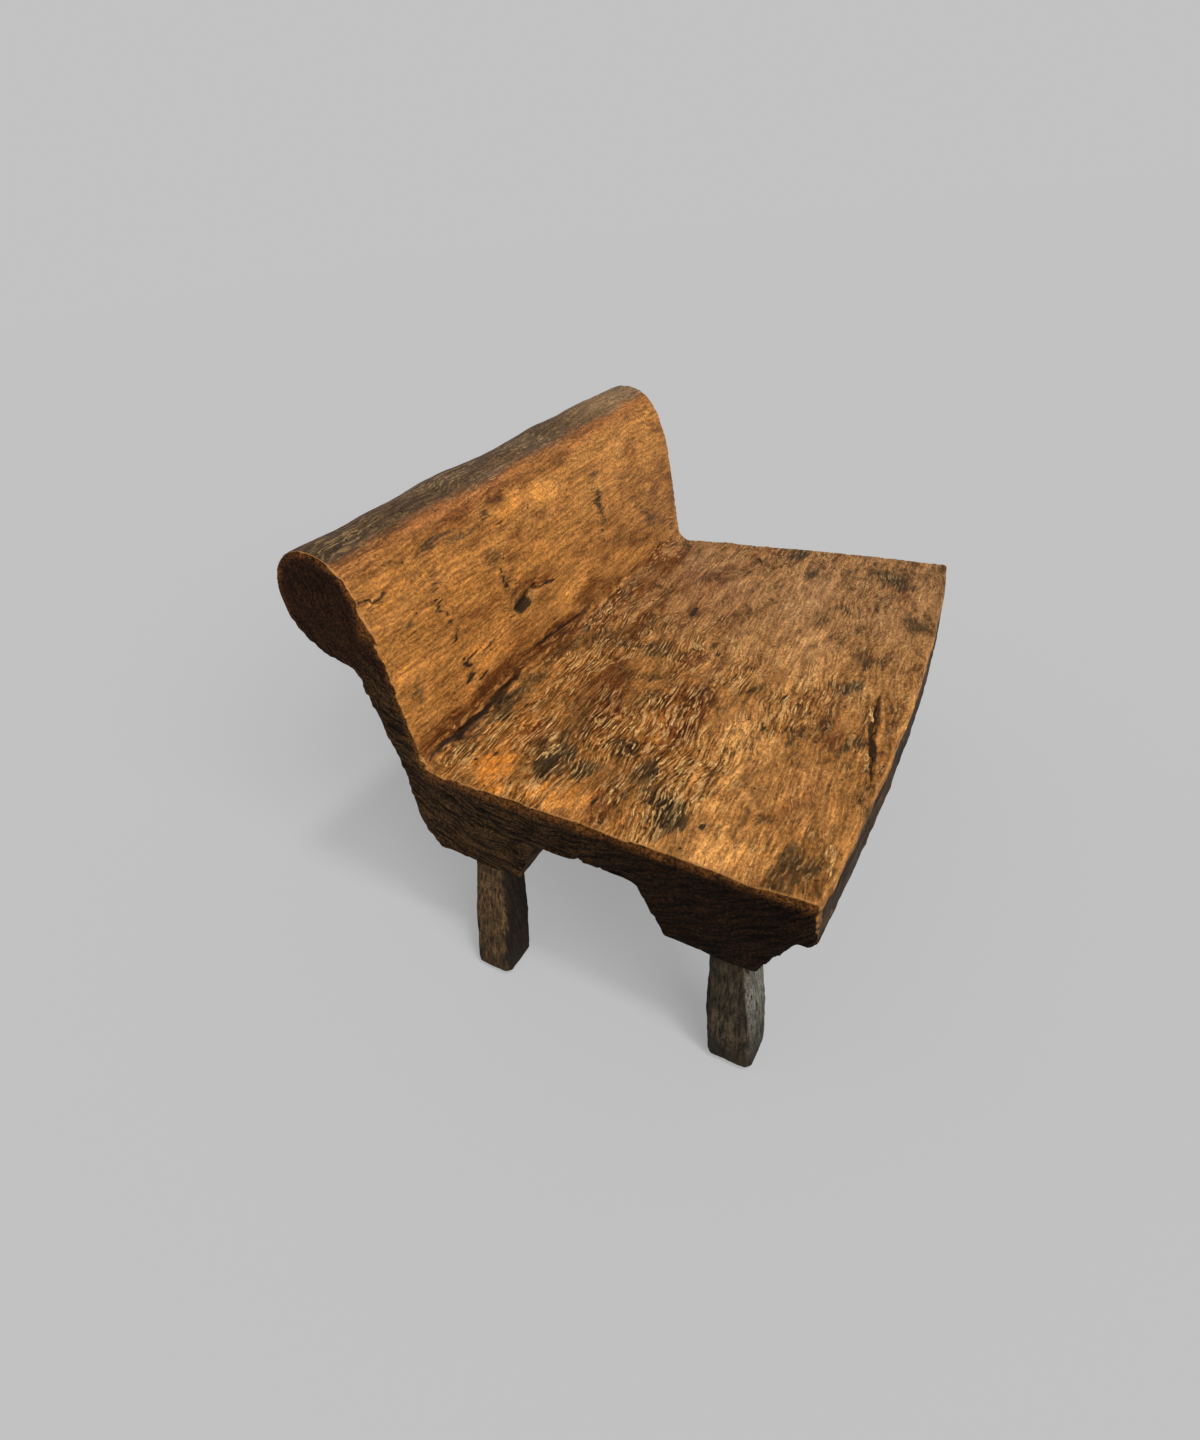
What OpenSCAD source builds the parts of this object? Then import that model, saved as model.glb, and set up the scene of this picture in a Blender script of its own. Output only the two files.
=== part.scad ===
// Low bench hewn from one log: a slab seat, a back with a rolled top and two ribs
// below are a single block, and four splayed legs stand in blind mortises in the ribs.
// X runs along the grain, -Y is the front and Z is up. The origin is on the floor,
// under the middle of the whole bench.

/* [Block] */
// Length of the block along its grain, at the front corners
block_length = 776; // [700:1:860]
// Height of the seat above the floor
seat_height = 300; // [270:1:340]
// Depth of the seat from its front corners to the foot of the back
seat_depth = 487; // [460:1:520]
// Thickness of the slab between the ribs
slab_thickness = 66; // [56:1:76]
// How far the front edge bows forward at its middle
front_bow = 20; // [5:1:30]
// How much further forward the left front corner stands than the right one
front_skew = 13; // [0:1:20]
// How much of the front edge's lower corner is worn away
front_wear = 10; // [4:1:16]
// How much the left end draws in between the front corner and the back of the roll
left_draw = 19; // [0:1:36]
// How much the right end draws in over the same stretch
right_draw = 0; // [0:1:36]
// How far the right end swells out between its corners
right_belly = 9; // [0:1:12]

/* [Back] */
// How far the back leans rearward between its foot and the roll
back_lean = 16; // [12:1:24]
// Thickness of the back at its waist
back_thickness = 50; // [40:1:54]
// Radius of the roll along the top of the back
roll_r = 69; // [60:1:76]
// Height of the roll's centre above the seat
roll_rise = 211; // [190:1:230]
// Distance of the roll's centre behind the foot of the back
roll_set = 94; // [88:1:100]
// Radius of the hollow where the seat meets the back
hollow_r = 26; // [15:1:40]

/* [Ribs] */
// Drop of the ribs below the slab
rib_drop = 72; // [64:1:84]
// Width of the front rib across its underside
front_rib_width = 112; // [96:1:124]
// Distance from the front corners to the front rib's underside
front_rib_start = 54; // [48:1:62]
// Width of the rear rib across its underside
rear_rib_width = 136; // [120:1:144]
// Distance from the front corners to the rear rib's underside
rear_rib_start = 369; // [360:1:376]
// How far the ribs' faces slope out between underside and slab
rib_slope = 33; // [20:1:36]

/* [Legs] */
// Width of a leg at its shoulder, along the grain of the block
leg_width = 50; // [42:1:56]
// Depth of a leg at its shoulder, from front to back
leg_depth = 47; // [42:1:56]
// How much a leg swells below its shoulder
leg_swell = 10; // [2:1:14]
// Chamfer down a leg's four corners
leg_chamfer = 6; // [3:1:9]
// Height of the worn edge round a foot
foot_wear = 9; // [4:1:14]
// How far a front foot stands out past its shoulder, towards the end
front_splay = 25; // [10:1:30]
// How far a rear foot stands out past its shoulder, towards the end
rear_splay = 43; // [20:1:45]

/* [Joints] */
// Thickness of the square tenon at its shoulder
tenon_side = 28; // [24:1:32]
// Length of the tenon above its shoulder
tenon_length = 58; // [40:1:64]
// How far the wedge spreads each cheek of the tenon at its tip
tenon_spread = 2.5; // [1:0.5:3]
// Length of the hidden wedge
wedge_length = 42; // [30:1:50]
// Thickness of the wedge at its thick end
wedge_thickness = 7; // [5:0.5:9]

/* [Hidden] */

top_brown = [0.58, 0.40, 0.22];
leg_brown = [0.30, 0.23, 0.15];
wedge_tan = [0.62, 0.47, 0.30];

slab_bottom = seat_height - slab_thickness;
rib_bottom = slab_bottom - rib_drop;
roll_y = seat_depth + roll_set;
roll_z = seat_height + roll_rise;
full_height = roll_z + roll_r;

// The front edge is one long arc through both front corners.
half_chord = norm([block_length, front_skew]) / 2;
front_r = (half_chord * half_chord + front_bow * front_bow) / (2 * front_bow);
front_normal = [-front_skew, block_length] / (2 * half_chord);
front_centre = front_normal * (front_r - front_bow);
front_y = front_centre[1] - front_r;
back_y = roll_y + roll_r;
middle_y = (front_y + back_y) / 2;

// The hollow runs into the seat and into the leaning face of the back, and its round
// gouge went this much deeper than either.
hollow_bite = 0.5;
// The leaning face of the back meets the roll this far below the roll's centre
brow = 22;
lean_angle = atan2(back_lean, roll_rise - brow);
hollow_y = seat_depth - hollow_r * (1 - sin(lean_angle)) / cos(lean_angle);

// Corners of the rear rib's rounded heel, from the back of its underside
heel_corners = [[15, 22], [22, 45]];
// Corners of the block's rear face, from the foot of the back at the seat's height
rear_corners = [[43, -61], [47, 3], [55, 43]];
// The waist's rear corner, from the back's own thickness at the seat's height
waist_corner = [12, 91];
// Corners of the cove below the roll, from the lowest point of the roll
cove_corners = [[-26, -18], [-20, -9], [2, 0]];
// The front rib's outer face slopes out this much further than the other rib faces
outer_slope = 8;
// The right end is fullest at this share of the seat's depth
belly_share = 0.55;
// Nearer the front, at this share of the depth, it has this share of its belly
shoulder_share = 0.2;
shoulder_belly = 0.8;
// The ribs run this far into the slab, so that they are one with it
sunk = 1;

// A leg is thickest at this share of its height, where it has most of its swell
knee_share = 0.45;
knee_swell = 0.6;
ankle_swell = 0.4;
// The foot's worn edge takes this share of its wear off the leg's depth, and all off its width
sole_share = 0.6;
// Thickness of the slices that a leg is stretched over
slice = 0.1;

// Slack around a tenon in its mortise, and above its tip
mortise_slack = 0.2;
mortise_head = 3;
// The wedge's thin end is cut to this thickness
wedge_tip = 1.2;
// How far the tenon's root and the mortise's mouth run past the shoulder
root = 6;
spare = 40;

front_leg_y = 88;
front_foot_y = 80;
rear_leg_y = 421;
rear_foot_y = 418;
front_leg_x = 358;
rear_leg_x = 354;

// Each leg: the side it stands on, then the middle of its shoulder and of its foot
function shoulder_of(side, front) =
    [side * (front ? front_leg_x : rear_leg_x), front ? front_leg_y : rear_leg_y];
function foot_of(side, front) =
    [side * (front ? front_leg_x + front_splay : rear_leg_x + rear_splay),
     front ? front_foot_y : rear_foot_y];

// Outline across the grain, drawn in depth and height
module block_outline() {
    heel = [rear_rib_start + rear_rib_width, rib_bottom];
    foot_of_back = [seat_depth, seat_height];
    waist = [seat_depth + back_thickness, seat_height];
    roll_bottom = [roll_y, roll_z - roll_r];
    hollow_top = [hollow_r * cos(lean_angle), hollow_r * (1 - sin(lean_angle))];
    difference() {
        union() {
            // slab
            translate([-spare, slab_bottom]) square([seat_depth + spare, slab_thickness]);
            rib(front_rib_start, front_rib_width, rib_slope + outer_slope, rib_slope);
            // rear rib, its rounded heel and the back above it
            polygon([
                [rear_rib_start - rib_slope, slab_bottom + sunk],
                [rear_rib_start, rib_bottom],
                heel,
                for (corner = heel_corners) heel + corner,
                for (corner = rear_corners) foot_of_back + corner,
                waist + waist_corner,
                for (corner = cove_corners) roll_bottom + corner,
                [roll_y, roll_z],
                [roll_y - roll_r, roll_z],
                [seat_depth + back_lean, roll_z - brow],
                [hollow_y, seat_height] + hollow_top,
                [hollow_y, seat_height],
            ]);
            translate([roll_y, roll_z]) circle(r = roll_r, $fn = 96);
        }
        translate([hollow_y, seat_height + hollow_r]) circle(r = hollow_r + hollow_bite, $fn = 64);
    }
}

module rib(start, width, front_slope, rear_slope) {
    polygon([
        [start - front_slope, slab_bottom + sunk],
        [start, rib_bottom],
        [start + width, rib_bottom],
        [start + width + rear_slope, slab_bottom + sunk],
    ]);
}

// Outline seen from above: both ends, and room in front for the bowed edge
module plan_outline() {
    back = back_y + spare;
    left = -block_length / 2;
    right = block_length / 2;
    polygon([
        [left - left_draw * spare / back, -spare],
        [left + left_draw * back_y / back, back],
        [right - right_draw, back],
        [right - right_draw / 2, seat_depth],
        [right + right_belly, seat_depth * belly_share],
        [right + right_belly * shoulder_belly, seat_depth * shoulder_share],
        [right, 0],
        [right, -spare],
    ]);
}

// Everything behind the bowed front edge, whose lower corner is worn away
module front_cut() {
    translate([front_centre[0], front_centre[1], 0]) rotate_extrude($fn = 720)
        polygon([
            [0, 0],
            [front_r - front_wear, 0],
            [front_r - front_wear, slab_bottom],
            [front_r, slab_bottom + front_wear],
            [front_r, full_height + spare],
            [0, full_height + spare],
        ]);
}

// Places its children along a leg's own axis, at the middle of its shoulder
module at_shoulder(side, front) {
    top = shoulder_of(side, front);
    foot = foot_of(side, front);
    lean = top - foot;
    translate([top[0], top[1], rib_bottom])
        rotate([-atan2(lean[1], rib_bottom), atan2(lean[0], rib_bottom), 0])
            children();
}

// A shape drawn in width and height, as thick as asked from front to back
module cheeks(thickness, points) {
    rotate([90, 0, 0]) linear_extrude(thickness, center = true) polygon(points);
}

module mortise(side, front) {
    half = tenon_side / 2 + mortise_slack;
    at_shoulder(side, front)
        cheeks(tenon_side + 2 * mortise_slack, [
            [-half, -root], [half, -root], [half, 0],
            [half + tenon_spread, tenon_length + mortise_head],
            [-half - tenon_spread, tenon_length + mortise_head], [-half, 0],
        ]);
}

module tenon(side, front) {
    half = tenon_side / 2;
    at_shoulder(side, front)
        cheeks(tenon_side, [
            [-half, -2 * root], [half, -2 * root], [half, 0],
            [half + tenon_spread, tenon_length],
            [wedge_thickness / 2, tenon_length],
            [wedge_tip / 2, tenon_length - wedge_length],
            [-wedge_tip / 2, tenon_length - wedge_length],
            [-wedge_thickness / 2, tenon_length],
            [-half - tenon_spread, tenon_length], [-half, 0],
        ]);
}

// A slice of a leg: a square with its corners cut
module leg_slice(height, middle, width, depth) {
    w = width / 2;
    d = depth / 2;
    c = leg_chamfer;
    translate([middle[0], middle[1], height]) linear_extrude(slice)
        polygon([
            [-w, -d + c], [-w + c, -d], [w - c, -d], [w, -d + c],
            [w, d - c], [w - c, d], [-w + c, d], [-w, d - c],
        ]);
}

module leg(side, front) {
    top = shoulder_of(side, front);
    foot = foot_of(side, front);
    knee = rib_bottom * knee_share;
    function middle_at(height) = foot + (top - foot) * height / rib_bottom;
    color(leg_brown) {
        hull() {
            leg_slice(rib_bottom - slice, top, leg_width, leg_depth);
            leg_slice(knee, middle_at(knee), leg_width + leg_swell * knee_swell, leg_depth + leg_swell);
            leg_slice(foot_wear, middle_at(foot_wear), leg_width + leg_swell * ankle_swell,
                leg_depth + leg_swell);
            leg_slice(0, foot, leg_width - foot_wear, leg_depth - foot_wear * sole_share);
        }
        tenon(side, front);
    }
}

module wedge(side, front) {
    color(wedge_tan) at_shoulder(side, front)
        cheeks(tenon_side, [
            [-wedge_thickness / 2, tenon_length], [wedge_thickness / 2, tenon_length],
            [wedge_tip / 2, tenon_length - wedge_length],
            [-wedge_tip / 2, tenon_length - wedge_length],
        ]);
}

module seat_and_back() {
    color(top_brown) difference() {
        intersection() {
            rotate([90, 0, 90]) linear_extrude(block_length + 4 * spare, center = true) block_outline();
            linear_extrude(full_height + spare) plan_outline();
            front_cut();
        }
        for (side = [-1, 1], front = [true, false]) mortise(side, front);
    }
}

// Moves the bench so that its middle stands over the origin
module centred() { translate([0, -middle_y, 0]) children(); }

centred() seat_and_back();
centred() leg(-1, true);  // leg_front_left
centred() leg(1, true);  // leg_front_right
centred() leg(-1, false);  // leg_rear_left
centred() leg(1, false);  // leg_rear_right
centred() wedge(-1, true);  // wedge_front_left
centred() wedge(1, true);  // wedge_front_right
centred() wedge(-1, false);  // wedge_rear_left
centred() wedge(1, false);  // wedge_rear_right
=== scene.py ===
"""Looks of a low bench hewn from one teak log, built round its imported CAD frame.

The block is a merged copy of the CAD solid that is worn, hewn and cracked as a mesh, the
four legs are treated in the same way, and the hidden wedges keep their CAD solids.
"""

import math

import bpy
import numpy as np
from bpy.props import FloatProperty, FloatVectorProperty, IntProperty, PointerProperty
from mathutils import Matrix, Vector


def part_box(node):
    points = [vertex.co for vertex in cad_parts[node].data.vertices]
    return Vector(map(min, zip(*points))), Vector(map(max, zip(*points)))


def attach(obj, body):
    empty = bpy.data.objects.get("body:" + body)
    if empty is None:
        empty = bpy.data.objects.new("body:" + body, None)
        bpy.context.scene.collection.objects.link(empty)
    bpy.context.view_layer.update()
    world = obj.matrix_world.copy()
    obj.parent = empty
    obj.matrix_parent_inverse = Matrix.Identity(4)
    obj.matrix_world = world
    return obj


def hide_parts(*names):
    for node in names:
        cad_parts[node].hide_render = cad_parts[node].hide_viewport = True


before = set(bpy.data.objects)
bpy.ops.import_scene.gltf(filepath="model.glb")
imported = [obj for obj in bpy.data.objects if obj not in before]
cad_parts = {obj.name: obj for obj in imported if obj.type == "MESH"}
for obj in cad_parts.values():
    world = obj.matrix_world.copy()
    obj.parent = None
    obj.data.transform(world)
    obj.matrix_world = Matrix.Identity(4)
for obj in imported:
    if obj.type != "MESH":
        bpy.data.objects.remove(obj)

bl_info = {
    "name": "Hewn Teak Bench",
    "version": (1, 0, 0),
    "blender": (4, 5, 0),
    "location": "View3D > Sidebar > Bench",
    "description": "Hews, wears and finishes a one-log teak bench round its CAD frame",
    "category": "Object",
}

MM = 0.001
BLOCK = "seat_and_back"
LEGS = ("leg_front_left", "leg_front_right", "leg_rear_left", "leg_rear_right")
WEDGES = ("wedge_front_left", "wedge_front_right", "wedge_rear_left", "wedge_rear_right")

# Where the block's forms lie in the CAD frame, in millimetres
SHOULDER_Z = (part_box(BLOCK)[0] / MM).z
SEAT_Z = 300.0
SLAB_Z = 234.0
ROLL_Y = 266.3
ROLL_Z = 511.0
ROLL_R = 69.0
BACK_FOOT_Y = 172.3
BACK_LEAN = 0.0847

LIGHT_ROUNDS = 4
HEAVY_ROUNDS = 26
LEG_ROUNDS = 3

# The gouge near the front edge and the scores in the seat, by X and Y, then the knot hole and
# the cracks in the back, by X and Z. Each has two ends, and a score or a crack has its depth.
GOUGE = ((-205, -318, 0), (-22, -288, 0))
SCORES = (
    ((-330, -285, 0), (-200, -262, 0), 1.2),
    ((-345, -322, 0), (-305, -268, 0), 1.4),
    ((-318, -325, 0), (-285, -290, 0), 1.4),
    ((-262, -300, 0), (-205, -290, 0), 1.4),
    ((-230, -312, 0), (-150, -300, 0), 1.6),
)
KNOT_HOLE = ((-132, 0, 403), (-80, 0, 410))
CRACKS = (
    ((-80, 0, 408), (-32, 0, 407), 2.2),
    ((-262, 0, 388), (-140, 0, 393), 1.4),
    ((-200, 0, 332), (20, 0, 318), 2.0),
    ((-385, 0, 322), (-200, 0, 326), 2.0),
)
KNOT_DEPTH = 12.0
SCORE_WIDTH = 1.8
CRACK_WIDTH = 2.0

# The stage. A lamp's shift is how far it throws a shadow along X and Y per height, and its
# spread is in degrees. The floor glows to the camera by a share, which pales its shadow. The
# sensor's long side is in millimetres, and the rest in metres.
HIGH_SHIFT, HIGH_SPREAD = (0.04, 0.45), 8
LOW_SHIFT, LOW_SPREAD = (0.6, 1.4), 40
LAMP_HEIGHT = 3
FLOOR_EDGE = 40
GLOW_SHARE = 0.58
GLOW_STRENGTH = 0.94
SENSOR = 36


def tone(red, green, blue):
    """A colour written as screen values from 0 to 255, as the linear one that shaders use."""
    parts = [value / 255 for value in (red, green, blue)]
    return tuple(c / 12.92 if c <= 0.04045 else ((c + 0.055) / 1.055) ** 2.4 for c in parts)


# Tones of the seat, the back and the roll beside those that BenchColours holds
SEAT_DEEP_OLIVE, SEAT_RED = tone(78, 54, 24), tone(114, 62, 26)
SEAT_FAR, SEAT_LIGHT_FAR, SEAT_LIGHT_WARM = tone(158, 112, 68), tone(192, 144, 94), tone(214, 138, 56)
BACK_DEEP, BACK_RED, BACK_FIBRE = tone(120, 72, 30), tone(84, 45, 15), tone(216, 152, 80)
BACK_LIGHT, BACK_LIGHT_FAR = tone(200, 132, 56), tone(182, 134, 80)
FIERY = (1.0, 0.89, 0.7)
CREST_DEEP, CREST_GREY, CREST_FAR = tone(72, 53, 36), tone(96, 82, 66), tone(134, 106, 74)
BAND_RED = tone(134, 82, 42)
# Near black painted into holes, cracks and the knot hole: painted shade inside them
HOLE_SHADE = tone(24, 16, 10)
# Paler rim of the seat and back: wear, and a painted highlight
WORN_LIT_RIM = tone(168, 116, 62)

# Tones of the ends and the hewn sides; the rim tone of the ends is a painted highlight
END_LINE, END_REAR, END_ROLL, END_LIT_RIM = tone(10, 6, 3), tone(74, 52, 30), tone(40, 19, 9), tone(104, 64, 28)
SIDE_DARK, SIDE_LIGHT, SIDE_WORN = tone(22, 14, 7), tone(62, 44, 26), tone(120, 93, 64)

# Tones of the legs, where AHEAD is for the front pair, and of the wedges
LEG_AHEAD, LEG_DEEP, LEG_DEEP_AHEAD = tone(68, 57, 41), tone(60, 44, 26), tone(28, 23, 17)
LEG_STREAK, LEG_STREAK_AHEAD = tone(116, 88, 56), tone(72, 63, 50)
# The rear face, groove and top tones of the legs are painted shade
LEG_FACE_LOW, LEG_FACE_HIGH, LEG_FACE_REAR_SHADE = tone(48, 44, 37), tone(100, 96, 87), tone(14, 9, 7)
LEG_GROOVE_SHADE, LEG_SPECK = tone(18, 12, 8), tone(26, 20, 15)
LEG_FOOT, LEG_TOP_SHADE = tone(34, 28, 20), tone(50, 38, 24)
WEDGE_DARK = tone(126, 90, 54)


def back_y(height):
    """Depth at which the leaning front face of the back stands at a height."""
    return BACK_FOOT_Y + BACK_LEAN * (height - SEAT_Z)


class BenchSizes(bpy.types.PropertyGroup):
    """Sizes of the hewing and the wear."""

    cell: FloatProperty(
        name="Cell",
        description="Edge of the cells that the solids are rebuilt from before hewing",
        default=2.4 * MM, min=1.5 * MM, max=8 * MM, precision=4, unit="LENGTH",
    )
    leg_cell: FloatProperty(
        name="Leg cell",
        description="The same for the legs",
        default=1.6 * MM, min=1.0 * MM, max=8 * MM, precision=4, unit="LENGTH",
    )
    seat_wave: FloatProperty(
        name="Seat wave",
        description="Height of the long waves that hewing left in the seat and back",
        default=1.6 * MM, min=0, max=5 * MM, precision=4, unit="LENGTH",
    )
    crest_wave: FloatProperty(
        name="Crest wave",
        description="Height of the waves along the roll",
        default=2.6 * MM, min=0, max=6 * MM, precision=4, unit="LENGTH",
    )
    adze_depth: FloatProperty(
        name="Adze depth",
        description="Depth of the adze hollows on the ends, the ribs and the rear",
        default=1.8 * MM, min=0, max=6 * MM, precision=4, unit="LENGTH",
    )
    fibre_height: FloatProperty(
        name="Fibre height",
        description="Height of the torn fibres that stand up from the seat",
        default=0.9 * MM, min=0, max=3 * MM, precision=4, unit="LENGTH",
    )
    block_faces: IntProperty(
        name="Block faces",
        description="Triangles that the finished block keeps",
        default=192000, min=20000, max=198000,
    )
    leg_faces: IntProperty(
        name="Leg faces",
        description="Triangles that each finished leg keeps",
        default=14000, min=2000, max=60000,
    )


class BenchColours(bpy.types.PropertyGroup):
    """Main colours of the wood and of the stage."""

    seat: FloatVectorProperty(
        name="Seat", description="Waxed brown of the seat", subtype="COLOR", size=3,
        default=tone(160, 108, 55), min=0, max=1,
    )
    seat_light: FloatVectorProperty(
        name="Seat light", description="Tan of its rubbed patches", subtype="COLOR", size=3,
        default=tone(204, 148, 84), min=0, max=1,
    )
    seat_deep: FloatVectorProperty(
        name="Seat deep", description="Deep brown of its darker patches", subtype="COLOR", size=3,
        default=tone(100, 60, 28), min=0, max=1,
    )
    # Pale torn fibres; where hairs and dashes use it, it is also a painted highlight on their tops
    fibre: FloatVectorProperty(
        name="Fibre", description="Pale tan of torn fibres", subtype="COLOR", size=3,
        default=tone(228, 182, 118), min=0, max=1,
    )
    stain: FloatVectorProperty(
        name="Stain", description="Blackish green of old stains", subtype="COLOR", size=3,
        default=tone(52, 42, 26), min=0, max=1,
    )
    back: FloatVectorProperty(
        name="Back", description="Golden brown of the back rest", subtype="COLOR", size=3,
        default=tone(164, 110, 54), min=0, max=1,
    )
    crest: FloatVectorProperty(
        name="Crest", description="Grey-brown of the weathered crest", subtype="COLOR", size=3,
        default=tone(94, 70, 46), min=0, max=1,
    )
    end: FloatVectorProperty(
        name="End", description="Near black brown of the end grain", subtype="COLOR", size=3,
        default=tone(42, 25, 11), min=0, max=1,
    )
    leg: FloatVectorProperty(
        name="Leg", description="Grey-brown of the legs", subtype="COLOR", size=3,
        default=tone(90, 68, 43), min=0, max=1,
    )
    clean: FloatVectorProperty(
        name="Clean", description="Fresh tan of the hidden wedges", subtype="COLOR", size=3,
        default=tone(158, 120, 78), min=0, max=1,
    )
    backdrop: FloatVectorProperty(
        name="Backdrop", description="Plain grey of the floor and the backdrop", subtype="COLOR",
        size=3, default=tone(194, 194, 194), min=0, max=1,
    )


class BenchStage(bpy.types.PropertyGroup):
    """The camera and the lamps."""

    camera_place: FloatVectorProperty(
        name="Camera place", description="Where the camera stands", subtype="TRANSLATION",
        unit="LENGTH", size=3, default=(-0.84621, -0.41914, 0.85148),
    )
    camera_azimuth: FloatProperty(
        name="Camera azimuth", description="Turn of the camera round the bench",
        unit="ROTATION", default=math.radians(-55.76),
    )
    camera_elevation: FloatProperty(
        name="Camera elevation", description="Height of the camera above the horizon",
        unit="ROTATION", default=math.radians(35.19),
    )
    camera_roll: FloatProperty(
        name="Camera roll", description="Tilt of the picture",
        unit="ROTATION", default=math.radians(-7.95),
    )
    lens: FloatProperty(
        name="Lens", description="Focal length on a picture 36 mm high", unit="CAMERA",
        default=18.28, min=8, max=200,
    )
    sky: FloatProperty(
        name="Sky", description="Strength of the even light from all round", default=0.3,
        min=0, max=2,
    )
    high_sun: FloatProperty(
        name="High lamp", description="Strength of the soft lamp high in front", default=1.1,
        min=0, max=5,
    )
    low_sun: FloatProperty(
        name="Low lamp", description="Strength of the wide lamp low in front", default=2.6,
        min=0, max=5,
    )


class Reading:
    """A number that varies over a surface. Arithmetic on it adds Math nodes."""

    def __init__(self, tree, socket):
        self.tree = tree
        self.socket = socket

    def math(self, operation, *values):
        made = self.tree.node("ShaderNodeMath", {"operation": operation}, dict(enumerate(values)))
        return Reading(self.tree, made.outputs[0])

    def __add__(self, other):
        return self.math("ADD", self, other)

    def __radd__(self, other):
        return self.math("ADD", other, self)

    def __sub__(self, other):
        return self.math("SUBTRACT", self, other)

    def __rsub__(self, other):
        return self.math("SUBTRACT", other, self)

    def __mul__(self, other):
        return self.math("MULTIPLY", self, other)

    def __rmul__(self, other):
        return self.math("MULTIPLY", other, self)

    def __abs__(self):
        return self.math("ABSOLUTE", self)

    def largest(self, other):
        return self.math("MAXIMUM", self, other)

    def root(self):
        return self.math("SQRT", self)

    def step(self, low, high, start=0.0, end=1.0):
        """Rises smoothly from start to end while the number runs from low to high."""
        made = self.tree.node(
            "ShaderNodeMapRange", {"interpolation_type": "SMOOTHSTEP"},
            {"Value": self, "From Min": low, "From Max": high, "To Min": start, "To Max": end},
        )
        return Reading(self.tree, made.outputs[0])


class Tree:
    """The node tree of a new material or world."""

    def __init__(self, owner):
        owner.use_nodes = True
        self.nodes = owner.node_tree.nodes
        self.links = owner.node_tree.links
        self.nodes.clear()

    def node(self, kind, settings=None, sockets=None):
        """Makes any node, from its type, its settings, and its sockets' values or links."""
        made = self.nodes.new(kind)
        for key, value in (settings or {}).items():
            setattr(made, key, value)
        for key, value in (sockets or {}).items():
            value = value.socket if isinstance(value, Reading) else value
            if isinstance(value, bpy.types.NodeSocket):
                self.links.new(value, made.inputs[key])
            else:
                made.inputs[key].default_value = value
        return made


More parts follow.
